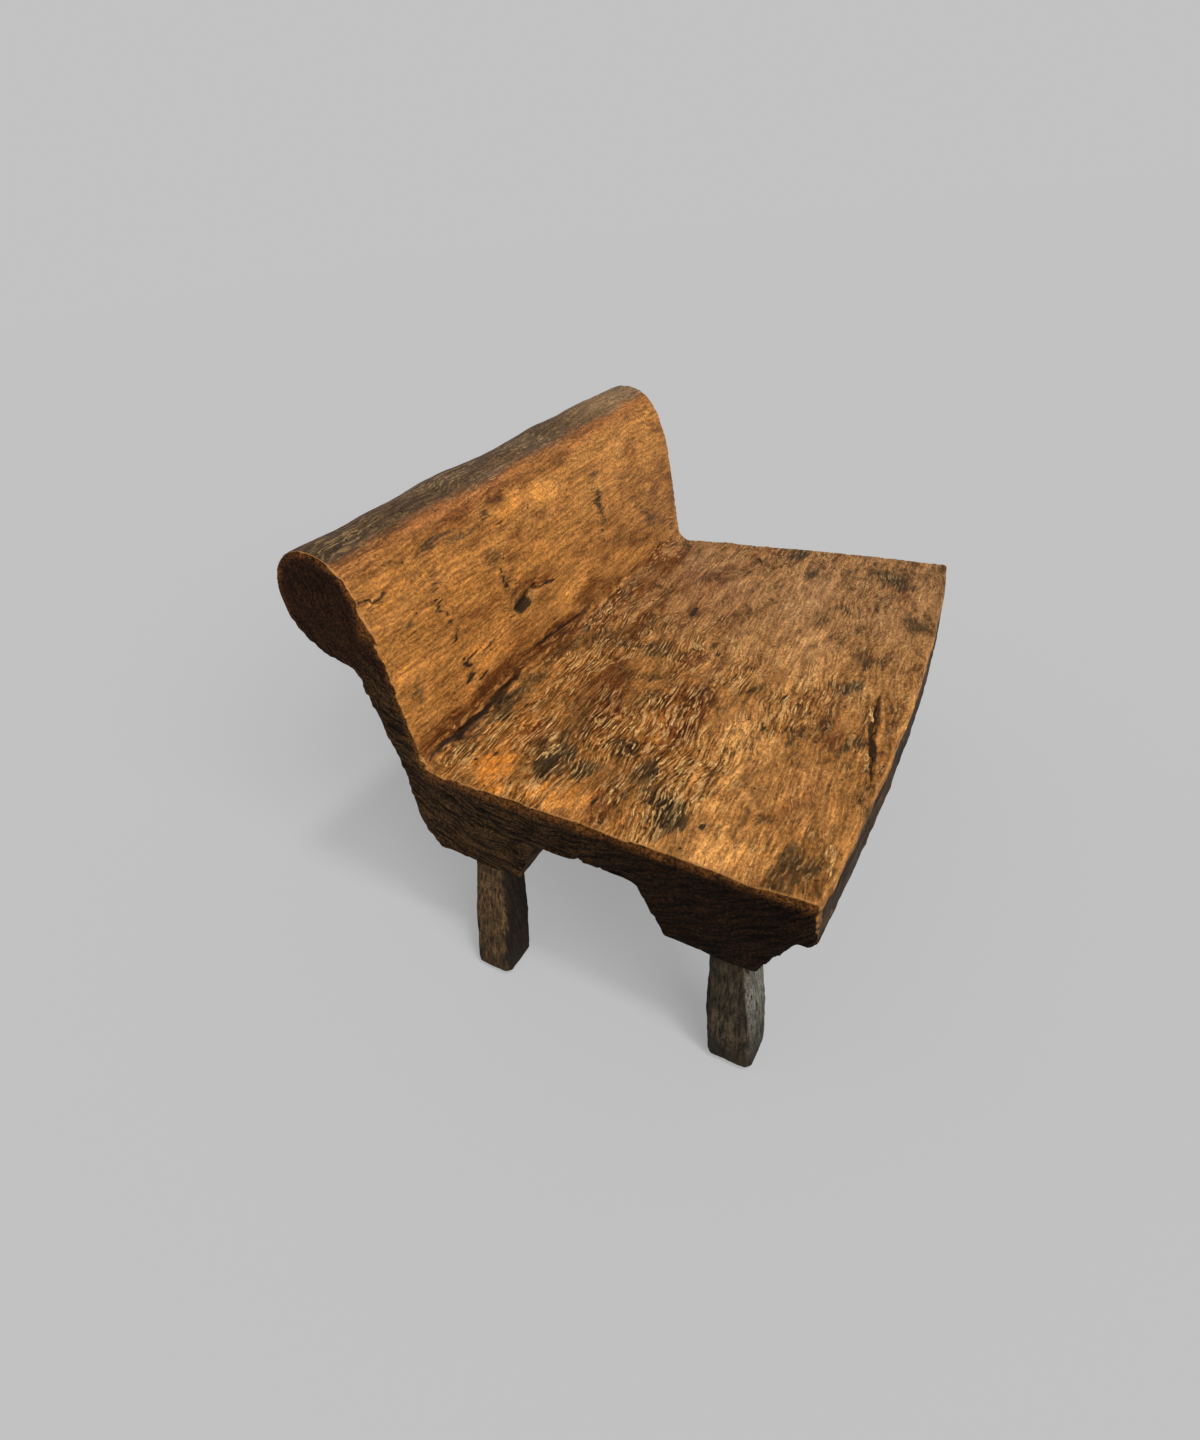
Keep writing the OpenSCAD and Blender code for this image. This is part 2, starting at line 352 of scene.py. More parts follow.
class Finish(Tree):
    """One procedural wood, with the few kinds of node that its patterns need."""

    def __init__(self, name):
        self.material = bpy.data.materials.new(name)
        super().__init__(self.material)
        spot = self.node("ShaderNodeTexCoord")
        self.place = self.vector("SCALE", spot.outputs["Object"], Scale=1 / MM)
        self.x, self.y, self.z = self.parts(self.place)
        self.nx, self.ny, self.nz = self.parts(spot.outputs["Normal"])

    def parts(self, vector):
        """A vector's X, Y and Z, or a colour's red, green and blue."""
        made = self.node("ShaderNodeSeparateXYZ", None, {0: vector})
        return [Reading(self, socket) for socket in made.outputs]

    def vector(self, operation, *vectors, **named):
        """A vector from Vector Math."""
        sockets = dict(enumerate(vectors))
        sockets.update(named)
        return self.node("ShaderNodeVectorMath", {"operation": operation}, sockets).outputs[0]

    def noise(self, vector, detail=2.0, rough=0.5, twist=0.0):
        """Noise whose lumps are about one unit of the vector across, from 0 to 1."""
        made = self.node(
            "ShaderNodeTexNoise", {"noise_dimensions": "3D"},
            {"Vector": vector, "Scale": 1.0, "Detail": detail, "Roughness": rough, "Distortion": twist},
        )
        return Reading(self, made.outputs[0])

    def lumps(self, size, detail=2.0, rough=0.5, twist=0.0, shift=0.0, place=None):
        """Noise with lumps of the given size along X, Y and Z, in millimetres."""
        scale = [1 / edge for edge in (size if isinstance(size, tuple) else (size,) * 3)]
        base = place or self.place
        if shift:
            base = self.vector("ADD", base, (shift, shift * 0.7, shift * 1.3))
        return self.noise(self.vector("MULTIPLY", base, tuple(scale)), detail, rough, twist)

    def warped(self, size, reach, base=None):
        """The place, pushed about by noise of the given lump size, by up to its reach."""
        base = base or self.place
        made = self.node(
            "ShaderNodeTexNoise", {"noise_dimensions": "3D"},
            {"Vector": self.vector("SCALE", base, Scale=1 / size), "Scale": 1.0, "Detail": 2.0},
        )
        push = self.vector("SUBTRACT", made.outputs["Color"], (0.5, 0.5, 0.5))
        push = self.vector("MULTIPLY", push, tuple(2 * edge for edge in reach))
        return self.vector("ADD", base, push)

    def specks(self, size, radius, share, place=None, shift=None):
        """Dots or dashes, one to a cell of that size, of which only a share shows.

        Radius is the size of a dot as a share of its cell, so long cells give dashes.
        """
        base = place or self.place
        if shift:
            base = self.vector("ADD", base, shift)
        scale = tuple(1 / edge for edge in size)
        made = self.node(
            "ShaderNodeTexVoronoi", {"feature": "F1"},
            {"Vector": self.vector("MULTIPLY", base, scale), "Scale": 1.0},
        )
        dot = Reading(self, made.outputs["Distance"]).step(radius, radius * 0.7)
        chosen = self.parts(made.outputs["Color"])[0].step(share, share * 0.98)
        return dot * chosen

    def painted(self, name):
        """A mask that the mesh carries at its points."""
        made = self.node("ShaderNodeAttribute", {"attribute_name": name})
        return Reading(self, made.outputs["Fac"])

    def mix(self, share, under, over, how="MIX"):
        """The colour under, with a share of the colour over on top."""
        made = self.node(
            "ShaderNodeMix", {"data_type": "RGBA", "blend_type": how},
            {0: share, 6: rgba(under), 7: rgba(over)},
        )
        return made.outputs[2]

    def shade(self, colour, factor):
        """The colour made lighter or darker by a number near 1."""
        return self.vector("SCALE", colour, Scale=factor)

    def bump(self, height, rise, under=None):
        """A normal bent by a height, on top of the bump under it if there is one."""
        sockets = {"Height": height, "Distance": rise, "Strength": 1.0}
        if under is not None:
            sockets["Normal"] = under
        return self.node("ShaderNodeBump", None, sockets).outputs[0]

    def wood(self, colour, rough, normal, coat=None, gloss=0.25):
        """Ends the material in one wood shader."""
        sockets = {
            "Base Color": colour, "Roughness": rough, "Normal": normal,
            "Specular IOR Level": gloss, "Coat Roughness": 0.38,
        }
        if coat is not None:
            sockets["Coat Weight"] = coat
        shader = self.node("ShaderNodeBsdfPrincipled", None, sockets)
        self.node("ShaderNodeOutputMaterial", None, {"Surface": shader.outputs[0]})
        return self.material


def rgba(colour):
    """A colour as a socket takes it, or the link it comes from."""
    if isinstance(colour, (bpy.types.NodeSocket, Reading)):
        return colour
    return (*colour, 1.0)


# Soft ellipses on the seat, by X and Y, and on the back, by X and the length up its face. A
# row is the middle, the two half sizes, the turn in degrees and the strength.
SEAT_STAINS = (
    (-297, 33, 32, 19, 10, 1.0), (-296, -8, 15, 26, 0, 0.8), (-240, -36, 30, 22, 20, 0.85),
    (-268, -84, 34, 17, 15, 0.85), (-304, -112, 22, 16, 30, 0.75), (-332, -140, 26, 20, 10, 1.0),
    (-250, 25, 60, 34, 10, 0.45), (-285, -60, 40, 60, 0, 0.35), (-190, 50, 60, 26, 8, 0.4),
    (-137, -286, 22, 20, 0, 0.7), (-18, -255, 28, 16, -5, 0.85), (-14, -231, 18, 10, 0, 0.7),
    (52, -262, 32, 14, -25, 0.6), (62, -284, 16, 8, 0, 0.75), (312, -226, 34, 26, 10, 0.85),
    (302, -256, 44, 18, 5, 0.8), (285, -278, 14, 8, 0, 0.7), (367, -66, 28, 20, 10, 0.8),
    (-4, 128, 34, 20, 0, 0.6), (-8, 82, 17, 36, 0, 0.65), (-8, 20, 27, 28, 0, 0.7),
    (60, 70, 40, 18, 12, 0.5), (255, 78, 40, 20, 10, 0.4), (-357, -284, 30, 20, 0, 0.75),
    # The thin rows at Y 160 to 165 run along the inside corner: painted shade in the crease
    (160, -120, 30, 16, 20, 0.35), (-240, 160, 110, 8, 0, 0.8), (-90, 60, 50, 34, 0, 0.3),
    (60, 163, 200, 6, -1, 0.7), (290, 165, 90, 5, 0, 0.6), (-20, 104, 50, 30, 10, 0.5),
)
SEAT_SPECKS = (
    (-333, -177, 8, 5, 0, 1.0), (-350, -49, 11, 6, -10, 1.0), (-150, -177, 10, 5, 0, 1.0),
    (-75, -181, 8, 5, 30, 1.0), (112, 35, 11, 6, 0, 0.9), (330, -12, 11, 5, 0, 0.8),
    (295, -5, 9, 4, 0, 0.8), (-4, -62, 10, 5, 20, 0.9), (-318, 118, 9, 5, 0, 0.9),
    (-333, 131, 7, 5, 0, 0.9), (-160, -215, 8, 4, 0, 0.9), (338, -127, 7, 4, 0, 0.8),
    # The thin row at Y -304 lies in the gouge and the one at Y 168 along the inside corner: painted shade
    # in them
    (50, -125, 10, 5, 10, 0.7), (-100, -222, 7, 8, 0, 0.6), (-112, -304, 88, 3.5, 10, 1.0),
    (-260, 168, 90, 4, 0, 0.7),
)
SEAT_REDS = (
    (-340, -62, 36, 20, 0, 0.9), (-255, 86, 34, 20, -10, 0.9), (-195, 28, 44, 20, 5, 0.9),
    (-150, -70, 70, 30, 12, 0.85), (-20, -48, 60, 26, 8, 0.3), (-120, 60, 80, 34, 8, 0.6),
    (160, 150, 70, 20, 5, 0.6), (60, 150, 60, 16, 0, 0.6), (-140, -256, 50, 22, 0, 0.4),
    (-60, -215, 34, 22, 15, 0.3), (110, -40, 60, 20, 8, 0.3), (330, 0, 60, 22, 0, 0.4),
    (190, 50, 110, 60, 0, 0.5), (270, 140, 60, 24, 0, 0.75), (-240, -256, 50, 24, 0, 0.45),
    (262, -256, 50, 26, 0, 0.4), (40, 110, 60, 50, 0, 0.4), (360, -40, 40, 60, 0, 0.4),
)
SEAT_LIGHTS = (
    (-352, -205, 42, 52, 0, 1.0), (-245, -195, 84, 34, 4, 0.9), (-340, 105, 34, 32, 0, 1.0),
    (-270, 168, 36, 16, 0, 0.9), (45, -170, 90, 44, 6, 0.8), (-350, -10, 26, 44, 0, 0.9),
    (-235, -262, 66, 30, 0, 0.8), (-135, -150, 50, 40, 0, 0.7), (170, -125, 130, 36, 4, 0.7),
    (170, 20, 90, 60, 0, 0.5), (260, 76, 70, 34, 0, 0.5), (60, -90, 60, 30, 0, 0.5),
    (170, -275, 60, 26, 5, 0.35), (-60, -262, 60, 22, 0, 0.5), (-30, -70, 50, 30, 0, 0.5),
)
SEAT_FRAYS = (
    (-182, -20, 30, 16, 38, 1.0), (-132, -14, 27, 10, 32, 1.0), (-268, 58, 66, 16, 14, 0.9),
    (-118, -66, 32, 10, 12, 0.9), (-330, -72, 44, 11, 4, 0.9), (-285, -136, 44, 10, 4, 0.9),
    (-255, -98, 64, 7, 3, 0.9), (-350, 20, 30, 40, 0, 0.7), (-330, -120, 50, 20, 0, 0.6),
    (-180, 40, 60, 10, 10, 0.6), (40, -70, 50, 16, 5, 0.6), (-300, 142, 90, 12, 0, 0.5),
    (200, -240, 90, 16, 5, 0.5), (-320, -300, 50, 8, 35, 0.8), (-110, -297, 92, 5, 10, 1.0),
)
BACK_STAINS = (
    (-264, 187, 6, 26, 0, 0.8), (-259, 140, 7, 26, 5, 0.9), (-258, 80, 6, 18, 0, 0.8),
    (-343, 90, 10, 18, 0, 0.8), (-320, 178, 14, 8, 10, 0.7), (-140, 190, 16, 14, 20, 0.75),
    (-138, 152, 8, 20, 0, 0.8), (-112, 150, 8, 30, -8, 0.6), (120, 140, 7, 62, 0, 0.9),
    (133, 213, 18, 13, 30, 0.8), (242, 108, 20, 12, -30, 0.8), (292, 78, 56, 15, -33, 0.8),
    (340, 44, 38, 13, -35, 0.6), (60, 62, 15, 14, 0, 0.7), (-206, 132, 5, 42, 0, 0.45),
    (268, 152, 24, 10, 0, 0.4), (20, 30, 18, 12, 0, 0.7), (-145, 112, 60, 34, 10, 0.5),
    (-235, 250, 58, 9, 2, 0.85), (-165, 240, 62, 8, 6, 0.8), (-262, 212, 12, 14, 0, 0.6),
    (-120, 222, 14, 10, 0, 0.6), (345, 268, 50, 7, 2, 0.7), (0, 291, 125, 10, 2, 0.9),
    (-180, 300, 100, 9, 0, 0.6), (330, 290, 64, 16, 0, 0.5),
)
BACK_SPECKS = (
    (-112, 106, 30, 8, 8, 1.0), (-96, 110, 18, 11, 20, 1.0), (-263, 187, 3, 24, 0, 0.9),
    (-260, 140, 3, 28, 5, 1.0), (-258, 84, 3, 20, 0, 0.9), (120, 140, 2.2, 60, 0, 0.6),
    (-138, 156, 3.5, 20, 0, 0.8), (-112, 150, 3, 28, -8, 0.6), (-206, 132, 2.5, 40, 0, 0.5),
    (-234, 56, 12, 3, 20, 0.9), (-52, 107, 26, 3, 0, 1.0),
    (-222, 92, 44, 2.5, 3, 0.8), (-262, 68, 14, 3, 0, 0.9), (-50, 50, 5, 4, 0, 0.9),
    (-140, 152, 5, 9, 0, 0.7), (-350, 236, 34, 3, 5, 0.8), (-120, 232, 8, 3, 0, 0.8),
    # These two thin rows lie along the foot of the back: painted shade in the crease
    (-250, 14, 130, 5, 2, 0.9), (-60, 30, 80, 4, -4, 0.8),
)
BACK_REDS = (
    (-112, 124, 38, 15, 12, 1.0), (-60, 116, 34, 8, 4, 0.8), (-250, 28, 140, 17, 2, 1.0),
    (-60, 24, 100, 17, -3, 1.0), (60, 40, 70, 20, -5, 0.7), (-190, 48, 80, 12, 10, 0.8),
    (240, 62, 50, 18, -20, 0.6), (130, 85, 70, 18, 10, 0.4), (-120, 276, 240, 18, 0, 0.9),
    (-140, 68, 60, 18, 0, 0.6), (110, 18, 110, 13, 0, 0.8), (330, 100, 60, 60, 0, 0.35),
    # These two thin rows lie along the foot of the back: painted shade in the crease
    (280, 12, 130, 9, 0, 1.0), (60, 8, 130, 6, 2, 1.0),
)
BACK_LIGHTS = (
    (-170, 72, 66, 15, 8, 1.0), (-200, 102, 60, 12, 6, 0.7), (-60, 152, 60, 26, 10, 0.7),
    (-240, 175, 60, 20, 0, 0.5), (60, 180, 80, 18, 5, 0.6), (20, 82, 80, 18, 5, 0.8),
    (-40, 235, 90, 20, 0, 0.9), (180, 240, 90, 20, 0, 0.5), (-300, 225, 70, 20, 0, 0.6),
    (-340, 120, 30, 40, 0, 0.5),
)
BACK_FRAYS = (
    (-200, 22, 180, 9, 1, 0.6), (-40, 14, 90, 8, -3, 0.6), (-330, 160, 40, 40, 0, 0.35),
    (-300, 110, 60, 40, 0, 0.4), (-130, 180, 40, 34, 0, 0.5), (-40, 190, 40, 20, 20, 0.5),
    (-360, 236, 20, 8, 4, 0.9), (-340, 55, 40, 30, 0, 0.5), (100, 130, 90, 40, 0, 0.25),
    (130, 14, 110, 9, 2, 0.8), (290, 12, 100, 8, 0, 0.7),
)


def worn_teak(colours):
    """Waxed seat and back, weathered crest, and near black end grain, on one block."""
    f = Finish("worn_teak")
    end = abs(f.nx).step(0.5, 0.75)
    low = f.z.step(SEAT_Z - 5, SEAT_Z - 14)
    upright = f.ny.step(-0.35, -0.75) * f.z.step(SEAT_Z + 2, SEAT_Z + 22)
    lights, reds = f.painted("rubbed"), f.painted("reddened")
    stains, frays = f.painted("stained"), f.painted("frayed")
    dots = f.painted("specked").step(0.3, 0.8)

    # The grain runs along X, a little askew, and bends gently
    skew = f.node("ShaderNodeCombineXYZ", None, {1: f.x * -0.07})
    flow = f.vector("ADD", f.warped(130.0, (0.0, 14.0, 12.0)), skew.outputs[0])
    curly = f.warped(26.0, (8.0, 6.0, 6.0), flow)
    bent = f.warped(60.0, (0.0, 13.0, 13.0), flow)
    streak = f.lumps((170.0, 13.0, 13.0), 4.0, 0.65, place=flow)
    mottle = f.lumps((60.0, 32.0, 32.0), 9.0, 0.74, 0.5, shift=90.0, place=flow)
    flake = f.lumps((34.0, 15.0, 15.0), 6.0, 0.78, 0.4, shift=40.0, place=flow)
    patch = f.lumps((130.0, 80.0, 80.0), 5.0, 0.62, 0.5)
    fibre = f.lumps((36.0, 3.2, 3.2), 1.0, 0.5, place=bent)
    coarse = f.lumps((30.0, 6.0, 6.0), 1.5, 0.6, shift=300.0, place=curly)
    comb = f.lumps((80.0, 4.2, 4.2), 1.0, 0.6, shift=150.0, place=flow)
    grit = f.lumps((4.5, 3.4, 3.4), 3.0, 0.75)
    # Torn fibres as dashes, and a copy shifted across the grain that is their painted shadow
    dash_size = (52.0, 4.6, 4.6)
    dash = f.specks(dash_size, 0.29, 0.8, bent)
    shade = f.specks(dash_size, 0.29, 0.8, bent, (0.0, 1.8, 1.8))

    # The seat, then the back rest
    tone_here = mottle * 0.75 + flake * 0.25 + (patch - 0.5) * 0.3 + lights * 0.12 - reds * 0.08
    far = f.x.step(-120.0, 260.0)
    warm = f.x.step(-140.0, -300.0) * f.y.step(-140.0, 80.0, 0.25, 1.0)
    deep = f.mix(patch.step(0.4, 0.6), SEAT_DEEP_OLIVE, colours.seat_deep)
    seat = f.mix(tone_here.step(0.39, 0.53), deep, f.mix(far, colours.seat, SEAT_FAR))
    pale = f.mix(warm, f.mix(far, colours.seat_light, SEAT_LIGHT_FAR), SEAT_LIGHT_WARM)
    seat = f.mix(tone_here.step(0.53, 0.68), seat, pale)
    seat = f.mix(reds * mottle.step(0.64, 0.44, 0.35, 1.0), seat, SEAT_RED)
    back = f.mix(tone_here.step(0.32, 0.54), BACK_DEEP, colours.back)
    back = f.mix(tone_here.step(0.54, 0.7) * 0.8, back, f.mix(far, BACK_LIGHT, BACK_LIGHT_FAR))
    back = f.mix(reds * mottle.step(0.66, 0.44, 0.4, 1.0), back, BACK_RED)
    colour = f.mix(upright, seat, back)
    fiery = f.x.step(120.0, -240.0) * f.y.step(-170.0, -40.0, 0.4, 1.0) * patch.step(0.36, 0.6, 0.5, 1.0)
    colour = f.mix(fiery * (1.0 - upright * 0.6), colour, FIERY, "MULTIPLY")
    crease = abs(flake - 0.47).step(0.025, 0.0) * mottle.step(0.56, 0.46)
    colour = f.mix(crease * (0.75 - upright * 0.3), colour, f.shade(colour, 0.35))

    # The roll: a red-brown band, then the weathered crest
    around = f.z + (mottle - 0.5) * 16 + (patch - 0.5) * 10
    band = around.step(ROLL_Z + 32, ROLL_Z + 52)
    crest_mask = around.step(ROLL_Z + 50, ROLL_Z + 60)
    grey = f.x.step(260.0, 40.0) * patch.step(0.42, 0.6)
    crest = f.mix(tone_here.step(0.36, 0.62), CREST_DEEP, colours.crest)
    crest = f.mix(grey * 0.4, crest, CREST_GREY)
    crest = f.mix(f.x.step(80.0, 320.0) * 0.7, crest, CREST_FAR)
    crest = f.shade(crest, f.x.step(-220.0, -340.0, 1.0, 0.72))
    colour = f.mix(band * 0.75, colour, BAND_RED)
    colour = f.mix(crest_mask, colour, crest)

    # Stains, pale torn fibres with painted highlight and shadow, streaks, specks and holes
    broken = stains * (0.95 - upright * 0.2) + (mottle - 0.5) * 1.5 + (flake - 0.5) * 1.3
    broken = broken - (fibre - 0.5) * 0.5
    colour = f.mix(broken.step(0.24, 0.86) * 0.88, colour, colours.stain)
    near = (f.x + (patch - 0.5) * 200).step(160.0, -80.0, 0.5, 1.0)
    loose = patch.step(0.42, 0.56, 0.14, 1.0) * (1.0 - lights * 0.6) * (1.0 - upright * 0.7) * near
    loose = loose * (1.0 - crest_mask * 0.7) * f.y.step(-290.0, -190.0, 0.3, 1.0)
    here = (0.1 + loose * 0.9).largest(frays)
    # Torn fibres, pale with a painted highlight, and the painted shadow beside them
    lit_torn = dash.largest(coarse.step(0.54, 0.61) * frays) * here
    fibre_shadow = (shade - dash).largest(coarse.step(0.46, 0.39) * frays) * here
    colour = f.shade(colour, streak.step(0.3, 0.7, 0.78, 1.2) + lights * 0.14)
    # Hairs along the grain, pale with a painted highlight, and painted shade in the grooves between them
    lit_hair = fibre.step(0.57, 0.62) * (loose * 0.4 + 0.06)
    groove_shade = fibre.step(0.45, 0.39) * (loose * 0.75 + 0.12)
    colour = f.shade(colour, comb.step(0.4, 0.6, 0.8, 1.18))
    colour = f.mix(groove_shade.largest(fibre_shadow * 0.95), colour, f.shade(colour, 0.24))
    colour = f.mix(lit_hair.largest(lit_torn * 0.88), colour, f.mix(upright, colours.fibre, BACK_FIBRE))
    colour = f.shade(colour, grit.step(0.38, 0.62, 0.7, 1.28))
    # Specks, cracks, the knot hole and pinholes are painted near black: painted shade inside these hollows
    holes = f.specks((17.0, 17.0, 17.0), 0.1, 0.4).largest(f.specks((31.0, 31.0, 31.0), 0.07, 0.3))
    dots = dots * flake.step(0.36, 0.46, 0.7, 1.0)
    colour = f.mix(dots.largest(holes) * 0.92, colour, HOLE_SHADE)

    # End grain: warped rings, near black, browner on the rear rib, with a painted highlight along the rim
    ring = f.warped(80.0, (24.0, 24.0, 16.0), f.warped(14.0, (2.5, 2.5, 2.5)))
    ey, ez = f.parts(f.vector("SUBTRACT", ring, (0.0, 0.0, 620.0)))[1:]
    away = (ey * ey + ez * ez).root()
    rings = f.node("ShaderNodeCombineXYZ", None, {0: away * 0.3, 1: ey * 0.022, 2: ez * 0.022})
    line = f.noise(rings.outputs[0], 5.0, 0.72)
    rear = (f.y + (patch - 0.5) * 120).step(-170.0, 90.0)
    end_colour = f.mix(line.step(0.4, 0.6), END_LINE, f.mix(rear, colours.end, END_REAR))
    end_colour = f.mix(f.z.step(400.0, 470.0) * 0.7, end_colour, END_ROLL)
    # A lighter band along the rims of the ends: painted highlight
    lit_end_rim = f.painted("rimmed") * flake.step(0.4, 0.58, 0.35, 0.95)
    end_colour = f.mix(lit_end_rim, end_colour, END_LIT_RIM)

    # The hewn sides, ribs and rear, and the worn rim with painted highlight where seat and back meet the
    # ends
    side_colour = f.mix(streak.step(0.3, 0.7), SIDE_DARK, SIDE_LIGHT)
    side_colour = f.shade(side_colour, comb.step(0.3, 0.7, 0.75, 1.25))
    # Faces turned to the rear are painted lighter: painted light where the lamps in front leave them dark
    side_colour = f.shade(side_colour, f.ny.step(0.2, 0.6, 1.0, 1.7))
    worn = f.nz.step(0.1, 0.45) * f.x.step(60.0, -60.0) * low
    side_colour = f.mix(worn, side_colour, SIDE_WORN)
    turned = low.largest(f.ny.step(0.3, 0.7)).largest(f.nz.step(-0.2, -0.6))
    colour = f.mix(turned, colour, side_colour)
    colour = f.mix(end, colour, f.shade(end_colour, grit.step(0.36, 0.64, 0.3, 1.8)))
    # The rounding of the rim is paler: wear, and a painted highlight where the edge turns
    rim = abs(f.nx).step(0.18, 0.34) * abs(f.nx).step(0.82, 0.66) * f.nz.step(-0.1, 0.3)
    colour = f.mix(rim * flake.step(0.36, 0.56, 0.1, 0.9), colour, WORN_LIT_RIM)

    # Relief, gloss and wax
    relief = f.bump((fibre * (0.3 + loose * 0.5) + dash) * (1.0 - end), 2.8 * MM)
    relief = f.bump(coarse * frays, 5.0 * MM, relief)
    relief = f.bump(line * end, 3.5 * MM, relief)
    relief = f.bump(grit, 1.8 * MM, relief)
    relief = f.bump(1.0 - dots.largest(holes), 0.8 * MM, relief)
    rough = mottle.step(0.3, 0.7, 0.52, 0.74).largest(end)
    coat = lights.largest(upright * 0.5) * (1.0 - end) * (1.0 - low) * 0.2
    return f.wood(colour, rough, relief, coat, 0.08)


def weathered_teak(colours):
    """Grey, dry side grain of the legs, which runs up and down."""
    f = Finish("weathered_teak")
    wavy = f.warped(60.0, (4.0, 4.0, 0.0))
    streak = f.lumps((12.0, 12.0, 120.0), 4.0, 0.6, place=wavy)
    fibre = f.lumps((3.6, 3.6, 40.0), 3.0, 0.65, place=wavy)
    patch = f.lumps(44.0, 6.0, 0.68, 0.4)
    grit = f.lumps(3.4, 4.0, 0.72)
    ahead = f.y.step(-120.0, -180.0)
    brown = f.mix(ahead, colours.leg, LEG_AHEAD)
    colour = f.mix(patch.step(0.3, 0.7), f.mix(ahead, LEG_DEEP, LEG_DEEP_AHEAD), brown)
    colour = f.mix(streak.step(0.48, 0.68) * 0.4, colour, f.mix(ahead, LEG_STREAK, LEG_STREAK_AHEAD))
    front = f.ny.step(-0.4, -0.8)
    high = (f.z + (patch - 0.5) * 60).step(20.0, 120.0)
    colour = f.mix(front * ahead * 0.85, colour, f.mix(high, LEG_FACE_LOW, LEG_FACE_HIGH))
    # The rear legs' front faces are painted near black: painted shade under the seat and behind the front
    # legs
    colour = f.mix(front * (1.0 - ahead) * 0.9, colour, LEG_FACE_REAR_SHADE)
    colour = f.shade(colour, fibre.step(0.36, 0.64, 0.5, 1.5))
    # The grain's grooves are painted near black: painted shade in them
    colour = f.mix(fibre.step(0.42, 0.35) * 0.85, colour, LEG_GROOVE_SHADE)
    colour = f.shade(colour, grit.step(0.36, 0.64, 0.66, 1.34))
    colour = f.mix(f.specks((15.0, 15.0, 24.0), 0.09, 0.35) * 0.8, colour, LEG_SPECK)
    foot = (f.z + (patch - 0.5) * 50).step(44.0, 4.0)
    colour = f.mix(foot * 0.6, colour, LEG_FOOT)
    # Darker towards the top of each leg: painted shade under the block
    top_shade = (f.z + (patch - 0.5) * 30).step(130.0, 160.0)
    colour = f.mix(top_shade * 0.35, colour, LEG_TOP_SHADE)
    relief = f.bump(fibre, 1.6 * MM)
    relief = f.bump(grit, 0.8 * MM, relief)
    return f.wood(colour, grit.step(0.3, 0.7, 0.68, 0.88), relief, None, 0.12)


def clean_teak(colours):
    """Sawn, unfinished wood of the hidden wedges."""
    f = Finish("clean_teak")
    streak = f.lumps((1.6, 3.0, 40.0), 3.0, 0.6)
    colour = f.mix(streak.step(0.35, 0.65), WEDGE_DARK, colours.clean)
    relief = f.bump(streak, 0.3 * MM)
    return f.wood(colour, streak.step(0.3, 0.7, 0.6, 0.75), relief, None, 0.3)


# Odd numbers that stir a seed and a cell's three numbers into one
STIR_SEED, STIR_ROUND = np.uint64(0x9E3779B1), np.uint64(0x2545F491)
STIR_AXES = np.array((0x85EBCA77, 0xC2B2AE3D, 0x27D4EB2F), np.uint64)
WORD = np.uint64(0xFFFFFFFF)


def scramble(cells, seed):
    """A number from -1 to 1 for each whole-number cell, the same at every run."""
    mixed = np.uint64(seed) * STIR_SEED
    for axis, factor in enumerate(STIR_AXES):
        mixed = (mixed ^ (cells[..., axis].astype(np.uint64) * factor)) & WORD
        mixed = (mixed * STIR_ROUND) & WORD
        mixed = mixed ^ (mixed >> np.uint64(15))
    return (mixed & np.uint64(0xFFFF)).astype(float) / 32767.5 - 1.0


def lump_field(points, size, seed, octaves=2):
    """Smooth noise from -1 to 1 at points in millimetres, with lumps of the given size.

    The start keeps every cell's number above 0, and differs between octaves. The last factor
    makes up for the mean of eight corners, which seldom comes near 1.
    """
    total = np.zeros(len(points))
    weight = 0.0
    for octave in range(octaves):
        q = points / (np.asarray(size, float) / 2**octave) + 1000.0 + 17.0 * octave
        cell = np.floor(q).astype(np.int64)
        part = q - cell
        part = part * part * part * (part * (part * 6 - 15) + 10)
        value = 0.0
        for corner in range(8):
            offset = np.array([corner & 1, corner >> 1 & 1, corner >> 2 & 1])
            share = np.prod(np.where(offset == 1, part, 1 - part), axis=1)
            value = value + share * scramble(cell + offset, seed + octave)
        total += value * 0.5**octave
        weight += 0.5**octave
    return total / weight * 1.6


def rise(values, low, high):
    """Smooth step from 0 at low to 1 at high, for arrays."""
    t = np.clip((values - low) / (high - low), 0, 1)
    return t * t * (3 - 2 * t)


def along(points, start, end):
    """How far along a line the points lie, from 0 to 1, and their distance from it."""
    start, end = np.asarray(start, float), np.asarray(end, float)
    run = end - start
    share = np.clip((points - start) @ run / (run @ run), 0, 1)
    return share, np.linalg.norm(points - start - share[:, None] * run, axis=1)


def read_points(piece, name="co", source="vertices"):
    """The places of a mesh's points, or another of their vectors, as rows of X, Y and Z."""
    data = getattr(piece.data, source)
    values = np.zeros(len(data) * 3)
    data.foreach_get(name, values)
    return values.reshape(-1, 3)


def read_edges(piece):
    """The numbers of the two points at the ends of each edge of a mesh."""
    pairs = np.zeros(len(piece.data.edges) * 2, np.int64)
    piece.data.edges.foreach_get("vertices", pairs)
    return pairs.reshape(-1, 2)


def relaxed(points, edges, rounds, hold):
    """Points drawn towards the middle of their neighbours, but for those that are held."""
    count = len(points)
    ends = np.concatenate([edges[:, 0], edges[:, 1]])
    others = np.concatenate([edges[:, 1], edges[:, 0]])
    share = np.bincount(ends, minlength=count)[:, None]
    free = (1.0 - hold)[:, None]
    for _ in range(rounds):
        mean = np.stack([np.bincount(ends, points[others, k], count) for k in range(3)], 1) / share
        points = points + 0.5 * free * (mean - points)
    return points


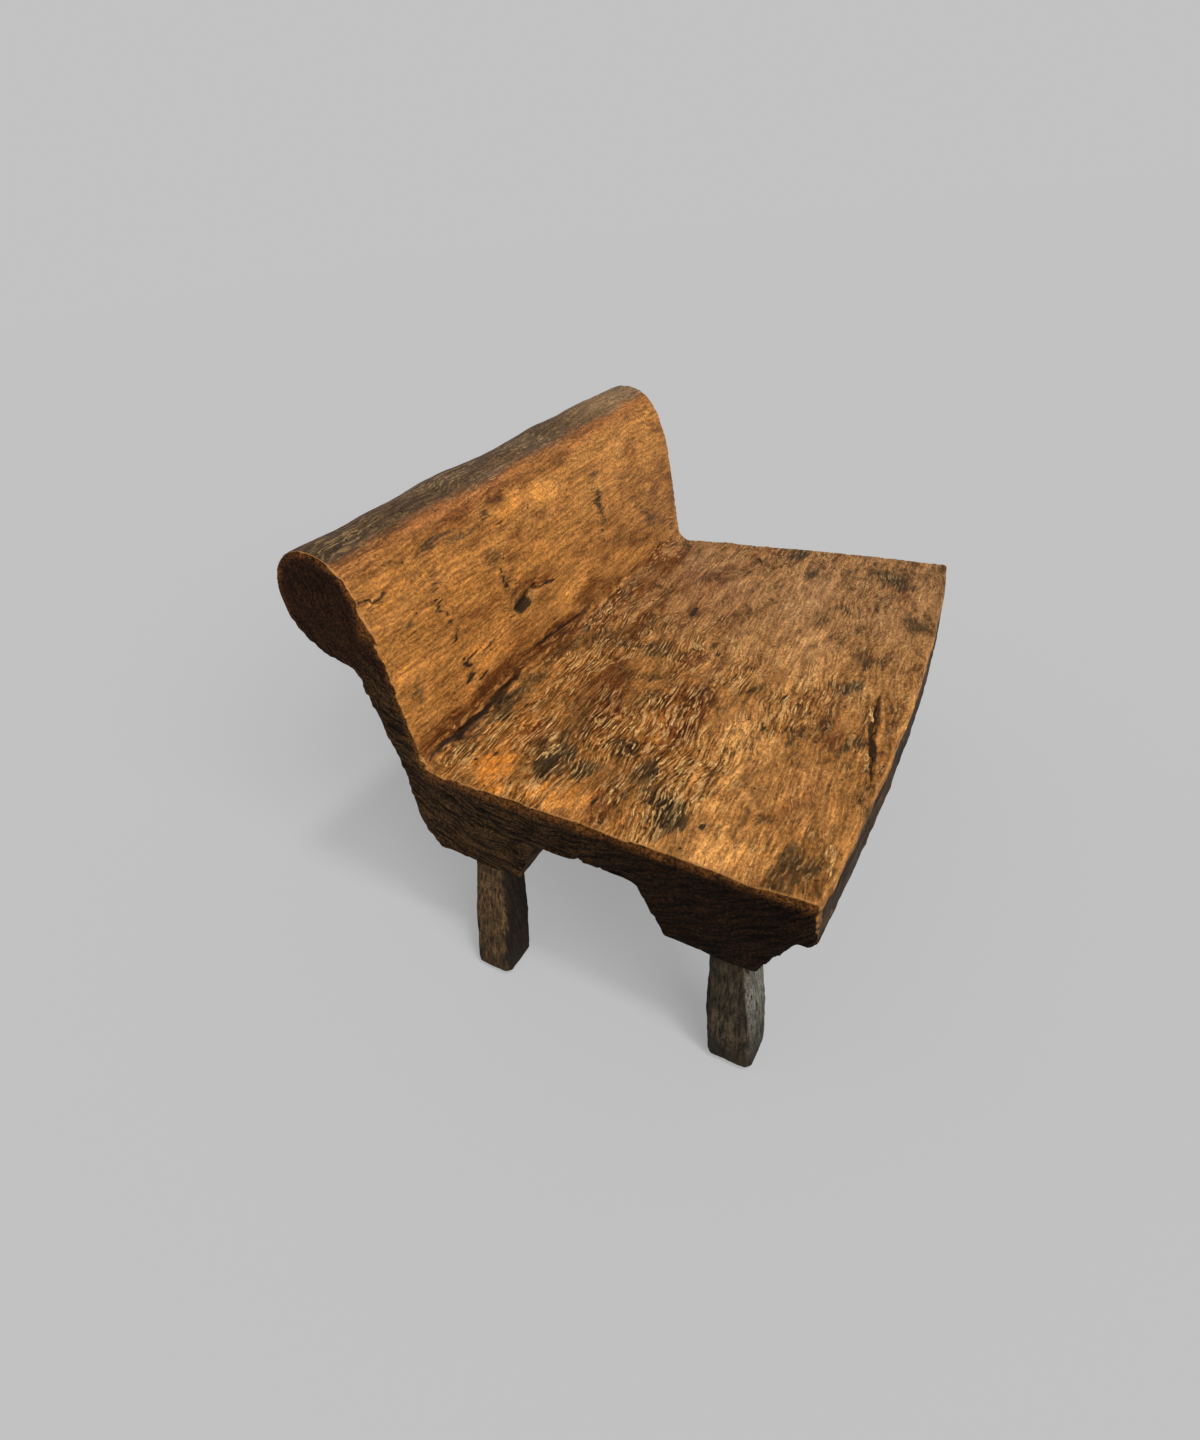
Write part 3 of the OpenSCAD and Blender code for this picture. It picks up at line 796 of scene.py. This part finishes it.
def rebuilt(node, name, cell):
    """A merged copy of a CAD node's mesh, rebuilt from even cells."""
    bpy.ops.object.select_all(action="DESELECT")
    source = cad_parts[node]
    piece = bpy.data.objects.new(name, source.data.copy())
    bpy.context.scene.collection.objects.link(piece)
    piece.data.materials.clear()
    piece.select_set(True)
    bpy.context.view_layer.objects.active = piece
    bpy.ops.object.mode_set(mode="EDIT")
    bpy.ops.mesh.select_all(action="SELECT")
    bpy.ops.mesh.remove_doubles(threshold=0.02 * MM)
    bpy.ops.mesh.normals_make_consistent(inside=False)
    bpy.ops.object.mode_set(mode="OBJECT")
    remesh = piece.modifiers.new("even cells", "REMESH")
    remesh.mode = "VOXEL"
    remesh.voxel_size = cell
    bpy.ops.object.modifier_apply(modifier=remesh.name)
    return piece


def thinned(piece, faces):
    """Keeps about that many triangles, where the relief needs them most."""
    triangles = sum(len(face.vertices) - 2 for face in piece.data.polygons)
    if triangles > faces:
        fewer = piece.modifiers.new("thin", "DECIMATE")
        fewer.ratio = faces / triangles
        bpy.ops.object.modifier_apply(modifier=fewer.name)
    bpy.ops.object.shade_smooth()
    return piece


def spots(across, up, rows):
    """Soft ellipses: each row gives a middle, half sizes, degrees of turn and strength."""
    total = np.zeros(len(across))
    for middle, height, long, wide, turn, strength in rows:
        c, s = math.cos(math.radians(turn)), math.sin(math.radians(turn))
        dx, dy = across - middle, up - height
        away = np.hypot((dx * c + dy * s) / long, (dy * c - dx * s) / wide)
        total = np.maximum(total, strength * rise(away, 1.5, 0.5))
    return total


def up_the_back(points):
    """Length along the front of the back and on over the roll, from the seat up.

    The flat face is a little longer than it is high, as it leans, and the bend below the roll
    is longer still.
    """
    y, z = points[:, 1], points[:, 2]
    flat = (z - SEAT_Z) * 1.004
    bend = 190 + (z - ROLL_Z + 22) * 1.45
    round_roll = 222 + ROLL_R * np.arctan2(z - ROLL_Z, ROLL_Y - y)
    return np.where(z < ROLL_Z - 22, flat, np.where(z < ROLL_Z, bend, round_roll))


def paint(piece):
    """Masks for stains, rubbed and reddened patches, frayed fibres and specks, and the painted highlight of
    the ends' rims.
    """
    points = read_points(piece) / MM
    normal = read_points(piece, "vector", "vertex_normals")
    near_seat = np.abs(points[:, 2] - SEAT_Z) < 20
    near_back = (points[:, 2] > SEAT_Z + 2) * (points[:, 1] < back_y(points[:, 2]) + 20)
    level = near_seat * rise(normal[:, 2], 0.4, 0.8)
    face = near_back * rise(normal[:, 0] ** 2, 0.4, 0.2) * rise(normal[:, 2] - normal[:, 1], 0.0, 0.3)

    # Noise pushes the ellipses' outlines about, so that none looks like an ellipse
    push = [
        9.0 * lump_field(points, (34, 34, 34), seed=60 + k, octaves=1)
        + 4.5 * lump_field(points, (11, 9, 9), seed=70 + k)
        for k in range(2)
    ]
    seat = points[:, 0] + push[0], points[:, 1] + push[1] * 0.8
    back = points[:, 0] + push[0], up_the_back(points) + push[1] * 0.6
    masks = {
        "rubbed": (SEAT_LIGHTS, BACK_LIGHTS),
        "reddened": (SEAT_REDS, BACK_REDS),
        "stained": (SEAT_STAINS, BACK_STAINS),
        "frayed": (SEAT_FRAYS, BACK_FRAYS),
        "specked": (SEAT_SPECKS, BACK_SPECKS),
    }
    for name, (seat_rows, back_rows) in masks.items():
        on_seat, on_back = (near_seat, near_back) if name == "specked" else (level, face)
        mask = np.maximum(spots(*seat, seat_rows) * on_seat, spots(*back, back_rows) * on_back)
        lay_mask(piece, name, mask)
    lay_mask(piece, "rimmed", lit_rim_band(points, normal))


def lay_mask(piece, name, mask):
    """Gives the mesh a mask at its points, which the finish reads by name."""
    layer = piece.data.attributes.new(name, "FLOAT", "POINT")
    layer.data.foreach_set("value", mask.astype(np.float32))


def lit_rim_band(points, normal):
    """1 on the ends close under the edges of the seat, the back and the roll, where a painted highlight
    goes.
    """
    y, z = points[:, 1], points[:, 2]
    under_seat = rise(SEAT_Z - z, 17, 5) * rise(y, BACK_FOOT_Y + 12, BACK_FOOT_Y)
    by_back = rise(y - back_y(z), 11, 2) * rise(z, SEAT_Z - 4, SEAT_Z + 8)
    by_back = by_back * rise(z, ROLL_Z - 20, ROLL_Z - 40)
    from_middle = np.hypot(y - ROLL_Y, z - ROLL_Z)
    round_roll = rise(from_middle, ROLL_R - 13, ROLL_R - 4) * rise(z, ROLL_Z - 40, ROLL_Z - 20)
    return rise(np.abs(normal[:, 0]), 0.2, 0.5) * np.maximum(under_seat, np.maximum(by_back, round_roll))


def write_points(piece, points):
    """Moves a mesh's points to places in millimetres."""
    piece.data.vertices.foreach_set("co", (points * MM).astype(np.float32).ravel())
    piece.data.update()


def near_joint(points):
    """1 in and round the mortises and under the shoulders, 0 elsewhere."""
    hold = np.zeros(len(points))
    for node in LEGS:
        low, high = (np.array(corner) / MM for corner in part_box(node))
        centre = (high[:2] + low[:2]) / 2
        tenon = read_points(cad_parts[node]) / MM
        middle = tenon[tenon[:, 2] > SHOULDER_Z + 20][:, :2].mean(0)
        away = np.linalg.norm(points[:, :2] - (middle + (centre - middle) * 0.2), axis=1)
        hold = np.maximum(hold, rise(away, 48, 30) * rise(points[:, 2], SLAB_Z + 6, SLAB_Z - 4))
    return hold


def cut_lines(push, where, points, rows, width):
    """Takes narrow grooves off the push: each row gives the two ends and the depth of one."""
    for start, end, deep in rows:
        away = along(points, start, end)[1]
        push -= where * deep * np.exp(-((away / width) ** 2))


def hew_block(sizes):
    """Wears the edges, hews the faces, and cuts the gouge, knot hole and cracks."""
    cell = sizes.cell
    piece = rebuilt(BLOCK, "hewn_seat_and_back", cell)
    sharp = read_points(piece) / MM
    edges = read_edges(piece)
    hold = near_joint(sharp)
    light = relaxed(sharp, edges, LIGHT_ROUNDS, hold)
    heavy = relaxed(light, edges, HEAVY_ROUNDS, hold)

    # Wear is uneven, and heaviest on the left of the front edge and the ends of the roll
    x, y, z = sharp.T
    wear = 0.5 + 0.5 * lump_field(sharp, (60, 60, 60), seed=3)
    front = rise(y, -290, -325) * rise(z, SEAT_Z - 40, SEAT_Z - 10) * rise(x, 40, -120)
    roll_end = rise(z, ROLL_Z - 60, ROLL_Z) * rise(np.abs(x), 365, 380)
    wear = np.clip(wear * 0.7 + 0.8 * front + 0.7 * roll_end, 0.1, 1.0)[:, None]
    points = light + (heavy - light) * wear
    write_points(piece, points)
    normal = read_points(piece, "vector", "vertex_normals")
    nx, ny, nz = normal.T
    x, y, z = points.T

    # Shares of each point in the seat, the back, the roll, the ends and all the rest
    level = rise(nz, 0.6, 0.9) * rise(z, SEAT_Z - 20, SEAT_Z - 6)
    upright = rise(-ny, 0.4, 0.8) * rise(z, SEAT_Z, SEAT_Z + 20)
    roll = rise(z, ROLL_Z - 40, ROLL_Z + 20)
    end = rise(np.abs(nx), 0.5, 0.85)
    show = np.maximum(level, np.maximum(upright, roll * (1 - end)))
    rest = 1 - show

    # Long waves of the hewing, then small ones along the grain
    push = sizes.seat_wave / MM * lump_field(points, (150, 85, 85), seed=11) * show
    push += sizes.crest_wave / MM * lump_field(points, (120, 70, 90), seed=12) * roll
    push += 0.45 * lump_field(points, (46, 13, 13), seed=13) * show
    fibre = lump_field(points, (24, 3.4, 3.4), seed=14)
    push += sizes.fibre_height / MM * 0.5 * np.maximum(fibre, -0.4) * show

    # Adze hollows and small chips on the hewn faces, and ridges of the end grain
    facet = -np.abs(lump_field(points, (52, 34, 30), seed=15, octaves=1))
    push += sizes.adze_depth / MM * facet * rest * 0.8
    push += 0.7 * lump_field(points, (14, 9, 7), seed=16) * rest
    push += 1.3 * lump_field(points, (60, 46, 11), seed=17) * end

    # Raised fibres along the inside corner
    corner = rise(np.hypot(y - BACK_FOOT_Y, z - SEAT_Z), 46, 18) * (1 - end)
    push += 1.9 * lump_field(points, (95, 6, 6), seed=18) * corner * rise(x, 330, 100)

    # The gouge: a groove with raised lips that frays out at its near end, and the scores
    flat = points * [1, 1, 0]
    on_seat = level > 0.3
    bend = 1.2 * np.sin(x / 17.0)
    share, away = along(flat + np.outer(bend, [0, 1, 0]), *GOUGE)
    depth = (1.2 + 3.0 * share) * rise(share, 0.0, 0.08) * rise(share, 1.0, 0.96)
    push -= on_seat * depth * np.exp(-((away / 3.4) ** 2))
    push += on_seat * 0.5 * depth * np.exp(-(((away - 7.5) / 2.6) ** 2))
    cut_lines(push, on_seat, flat, SCORES, SCORE_WIDTH)

    # The knot hole in the back, the crack that runs on from it and the other cracks
    face = points * [1, 0, 1]
    on_back = upright > 0.3
    share, away = along(face, *KNOT_HOLE)
    push -= on_back * KNOT_DEPTH * np.exp(-((away / (3.2 + 3.4 * share)) ** 2))
    wobble = 3.0 * lump_field(points, (30, 400, 400), seed=19, octaves=1)
    cut_lines(push, on_back, face + np.outer(wobble, [0, 0, 1]), CRACKS, CRACK_WIDTH)

    # Fibres broken short along the rim of the seat and back at both ends
    rim = rise(np.abs(nx), 0.15, 0.4) * rise(np.abs(nx), 0.99, 0.9) * rise(nz - ny, -0.2, 0.3)
    push -= 1.4 * np.maximum(0, lump_field(points, (30, 7, 7), seed=21)) * rim

    # The ragged lower edge of the slab at the left end
    ragged = rise(x, -355, -380) * rise(np.abs(z - SLAB_Z), 12, 4) * rise(np.abs(y + 52), 55, 40)
    push -= 4.5 * np.maximum(0, lump_field(points, (9, 9, 9), seed=20)) * ragged
    points = points + normal * (push * (1 - hold))[:, None]
    write_points(piece, points)
    return thinned(piece, sizes.block_faces)


def hew_leg(node, sizes, seed):
    """One square leg with soft hand-cut faces, worn corners and its tenon left true."""
    cell = sizes.leg_cell
    piece = rebuilt(node, "hewn_" + node, cell)
    sharp = read_points(piece) / MM
    hold = rise(sharp[:, 2], SHOULDER_Z - 7, SHOULDER_Z - 2)
    hold = np.maximum(hold, rise(sharp[:, 2], 1.2, 0.4))
    points = relaxed(sharp, read_edges(piece), LEG_ROUNDS, hold)
    write_points(piece, points)
    normal = read_points(piece, "vector", "vertex_normals")
    side = 1 - np.abs(normal[:, 2])
    push = 0.6 * lump_field(points, (40, 40, 60), seed)
    push += 0.5 * lump_field(points, (6, 6, 50), seed + 5)
    push += 0.3 * lump_field(points, (7, 7, 7), seed + 9, octaves=1)
    points = points + normal * (push * side * (1 - hold))[:, None]
    points[:, 2] = np.maximum(points[:, 2], 0)
    write_points(piece, points)
    return thinned(piece, sizes.leg_faces)


def dressed(piece, node, material):
    """Hands a finished piece to the frame in place of its CAD node."""
    piece.data.materials.append(material)
    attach(piece, "root")
    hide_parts(node)


class BENCH_OT_seat_and_back(bpy.types.Operator):
    """Hew and finish the one block that is the seat, the back and the ribs"""

    bl_idname = "bench.seat_and_back"
    bl_label = "Hew the seat and back"

    def execute(self, context):
        scene = context.scene
        piece = hew_block(scene.bench_sizes)
        paint(piece)
        dressed(piece, BLOCK, worn_teak(scene.bench_colours))
        return {"FINISHED"}


class BENCH_OT_legs(bpy.types.Operator):
    """Hew and finish the four legs"""

    bl_idname = "bench.legs"
    bl_label = "Hew the legs"

    def execute(self, context):
        scene = context.scene
        material = weathered_teak(scene.bench_colours)
        for number, node in enumerate(LEGS):
            piece = hew_leg(node, scene.bench_sizes, 40 + 20 * number)
            dressed(piece, node, material)
        return {"FINISHED"}


class BENCH_OT_wedges(bpy.types.Operator):
    """Finish the four hidden wedges, which keep their CAD solids"""

    bl_idname = "bench.wedges"
    bl_label = "Finish the wedges"

    def execute(self, context):
        material = clean_teak(context.scene.bench_colours)
        for node in WEDGES:
            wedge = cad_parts[node]
            wedge.data.materials.clear()
            wedge.data.materials.append(material)
        return {"FINISHED"}


class BENCH_OT_stage(bpy.types.Operator):
    """Lay the floor, hang the lamps and set up the camera"""

    bl_idname = "bench.stage"
    bl_label = "Set the stage"

    def execute(self, context):
        scene = context.scene
        stage = scene.bench_stage
        lay_floor(scene.bench_colours)
        light_world(scene, stage)
        hang_lamp("high_lamp", stage.high_sun, HIGH_SHIFT, HIGH_SPREAD)
        hang_lamp("low_lamp", stage.low_sun, LOW_SHIFT, LOW_SPREAD)
        place_camera(scene, stage)
        scene.view_settings.view_transform = "Standard"
        return {"FINISHED"}


def lay_floor(colours):
    """A plain floor that is even grey to the camera and still keeps the shadow."""
    bpy.ops.object.select_all(action="DESELECT")
    bpy.ops.mesh.primitive_plane_add(size=FLOOR_EDGE)
    floor = bpy.context.active_object
    floor.name = "floor"
    material = bpy.data.materials.new("floor_grey")
    tree = Tree(material)
    grey = rgba(colours.backdrop)
    matt = tree.node("ShaderNodeBsdfDiffuse", None, {"Color": grey})
    glow = tree.node("ShaderNodeEmission", None, {"Color": grey, "Strength": GLOW_STRENGTH})
    path = tree.node("ShaderNodeLightPath")
    share = Reading(tree, path.outputs["Is Camera Ray"]) * GLOW_SHARE
    both = tree.node("ShaderNodeMixShader", None, {0: share, 1: matt.outputs[0], 2: glow.outputs[0]})
    tree.node("ShaderNodeOutputMaterial", None, {"Surface": both.outputs[0]})
    floor.data.materials.append(material)


def light_world(scene, stage):
    """Even light from all round, and the backdrop's grey where the camera looks past."""
    world = bpy.data.worlds.new("even_light")
    scene.world = world
    tree = Tree(world)
    lit = tree.node("ShaderNodeBackground", None, {"Color": (1, 1, 1, 1), "Strength": stage.sky})
    seen = tree.node("ShaderNodeBackground", None, {"Color": rgba(scene.bench_colours.backdrop)})
    path = tree.node("ShaderNodeLightPath")
    straight, glossy = (Reading(tree, path.outputs[ray]) for ray in ("Is Camera Ray", "Is Glossy Ray"))
    share = straight.largest(glossy)
    both = tree.node("ShaderNodeMixShader", None, {0: share, 1: lit.outputs[0], 2: seen.outputs[0]})
    tree.node("ShaderNodeOutputWorld", None, {"Surface": both.outputs[0]})


def hang_lamp(name, strength, shift, spread):
    """A distant soft lamp, which stands where its shadows come from."""
    data = bpy.data.lights.new(name, "SUN")
    data.energy = strength
    data.angle = math.radians(spread)
    lamp = bpy.data.objects.new(name, data)
    bpy.context.scene.collection.objects.link(lamp)
    lamp.rotation_mode = "QUATERNION"
    lamp.rotation_quaternion = Vector((*shift, -1.0)).to_track_quat("-Z", "Y")
    lamp.location = (-shift[0] * LAMP_HEIGHT, -shift[1] * LAMP_HEIGHT, LAMP_HEIGHT)


def place_camera(scene, stage):
    """The camera, from its azimuth, elevation and roll."""
    a, e, r = stage.camera_azimuth, stage.camera_elevation, stage.camera_roll
    back = Vector((math.sin(a) * math.cos(e), -math.cos(a) * math.cos(e), math.sin(e)))
    right = (-back).cross(Vector((0, 0, 1))).normalized()
    up = right.cross(-back)
    across = right * math.cos(r) + up * math.sin(r)
    upward = up * math.cos(r) - right * math.sin(r)
    data = bpy.data.cameras.new("camera")
    data.sensor_width = SENSOR
    data.lens = stage.lens
    data.clip_start = 0.01
    camera = bpy.data.objects.new("camera", data)
    scene.collection.objects.link(camera)
    turn = Matrix((across, upward, back)).transposed().to_4x4()
    camera.matrix_world = Matrix.Translation(stage.camera_place) @ turn
    scene.camera = camera


class BENCH_PT_panel(bpy.types.Panel):
    """Lists the bench's operators, sizes and colours"""

    bl_idname = "BENCH_PT_panel"
    bl_label = "Hewn Teak Bench"
    bl_space_type = "VIEW_3D"
    bl_region_type = "UI"
    bl_category = "Bench"

    def draw(self, context):
        column = self.layout.column(align=True)
        for operator in OPERATORS:
            column.operator(operator.bl_idname)
        for group in (context.scene.bench_sizes, context.scene.bench_colours, context.scene.bench_stage):
            column.separator()
            for name in group.__annotations__:
                column.prop(group, name)


OPERATORS = (BENCH_OT_seat_and_back, BENCH_OT_legs, BENCH_OT_wedges, BENCH_OT_stage)
GROUPS = {"bench_sizes": BenchSizes, "bench_colours": BenchColours, "bench_stage": BenchStage}


def register():
    for group in (*GROUPS.values(), *OPERATORS, BENCH_PT_panel):
        bpy.utils.register_class(group)
    for name, group in GROUPS.items():
        setattr(bpy.types.Scene, name, PointerProperty(type=group))


def unregister():
    for name in GROUPS:
        delattr(bpy.types.Scene, name)
    for group in (BENCH_PT_panel, *OPERATORS, *GROUPS.values()):
        bpy.utils.unregister_class(group)


def main():
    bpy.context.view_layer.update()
    register()
    bpy.ops.bench.seat_and_back()
    bpy.ops.bench.legs()
    bpy.ops.bench.wedges()
    bpy.ops.bench.stage()


if __name__ == "__main__":
    main()
